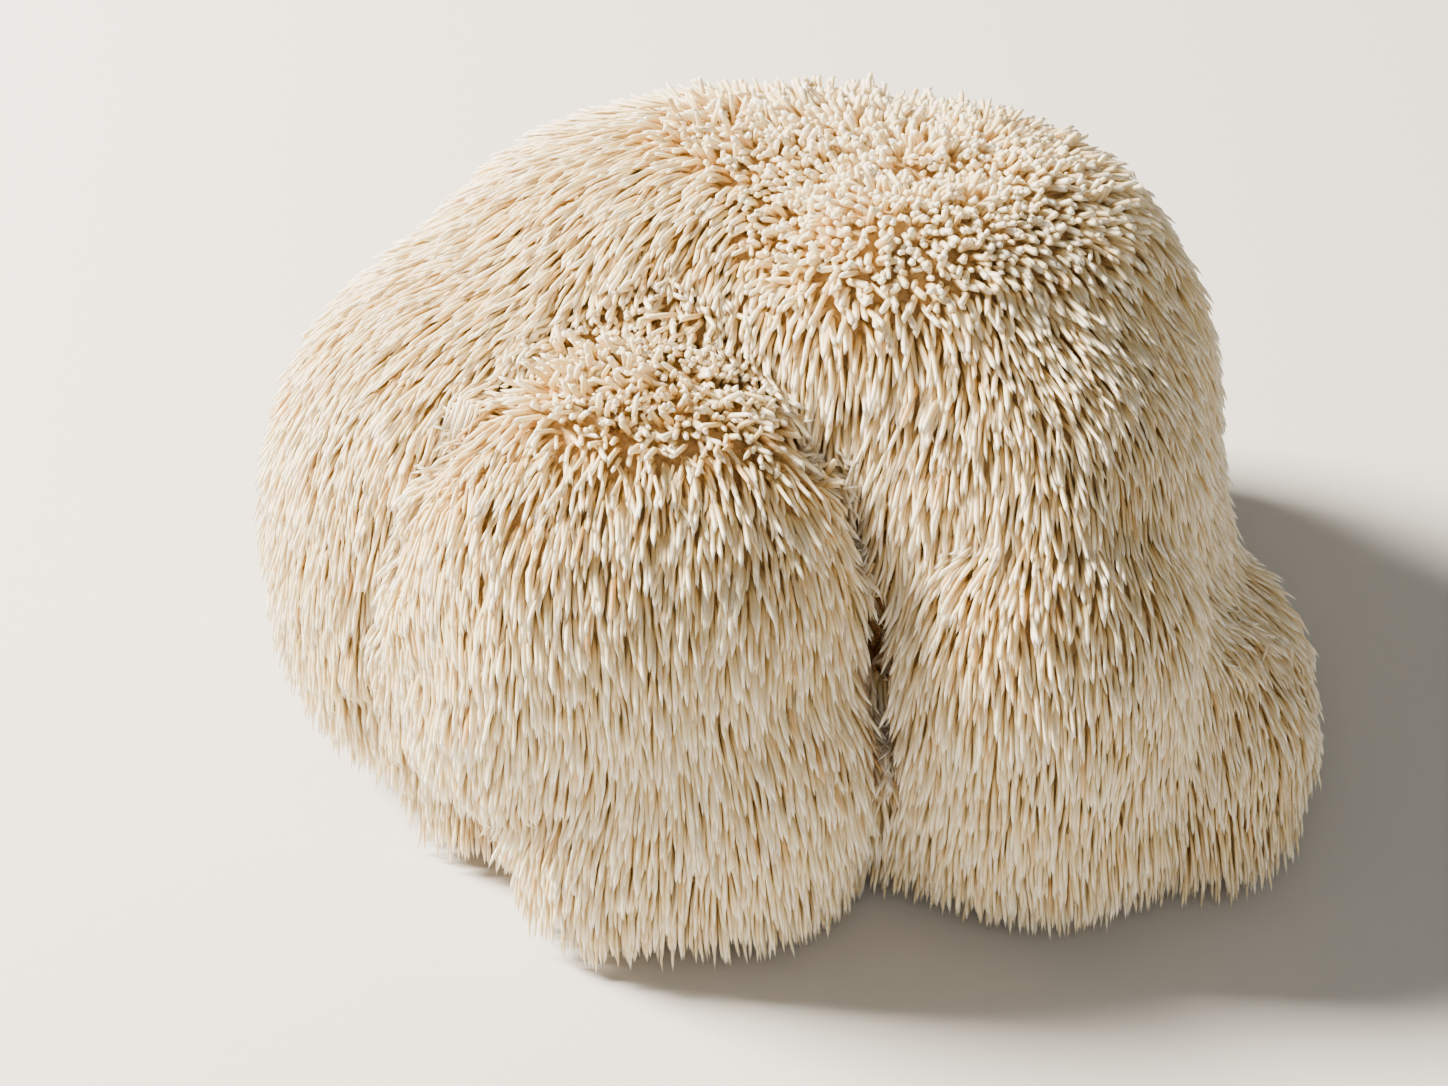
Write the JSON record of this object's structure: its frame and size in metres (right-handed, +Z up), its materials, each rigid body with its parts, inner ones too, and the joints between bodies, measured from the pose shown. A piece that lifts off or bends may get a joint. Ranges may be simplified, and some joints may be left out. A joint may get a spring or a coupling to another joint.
{
  "type": "lion's mane mushroom",
  "caption": "Fresh lion's mane mushroom head: lobed cream flesh under a coat of soft hanging spines, with a flat cut face to rest on.",
  "frame": {"origin": "middle of the flat cut face underneath, on the surface that the mushroom rests on", "axes": "+Z up; -Y towards the front with the deep cleft between two lobes; +X to the right seen from the front"},
  "size_m": [0.1568, 0.1295, 0.09],
  "materials": {
    "flesh": "soft cream fungus flesh with a dull waxy sheen"
  },
  "bodies": {
    "root": {"lions_mane": "flesh"}
  },
  "joints": []
}
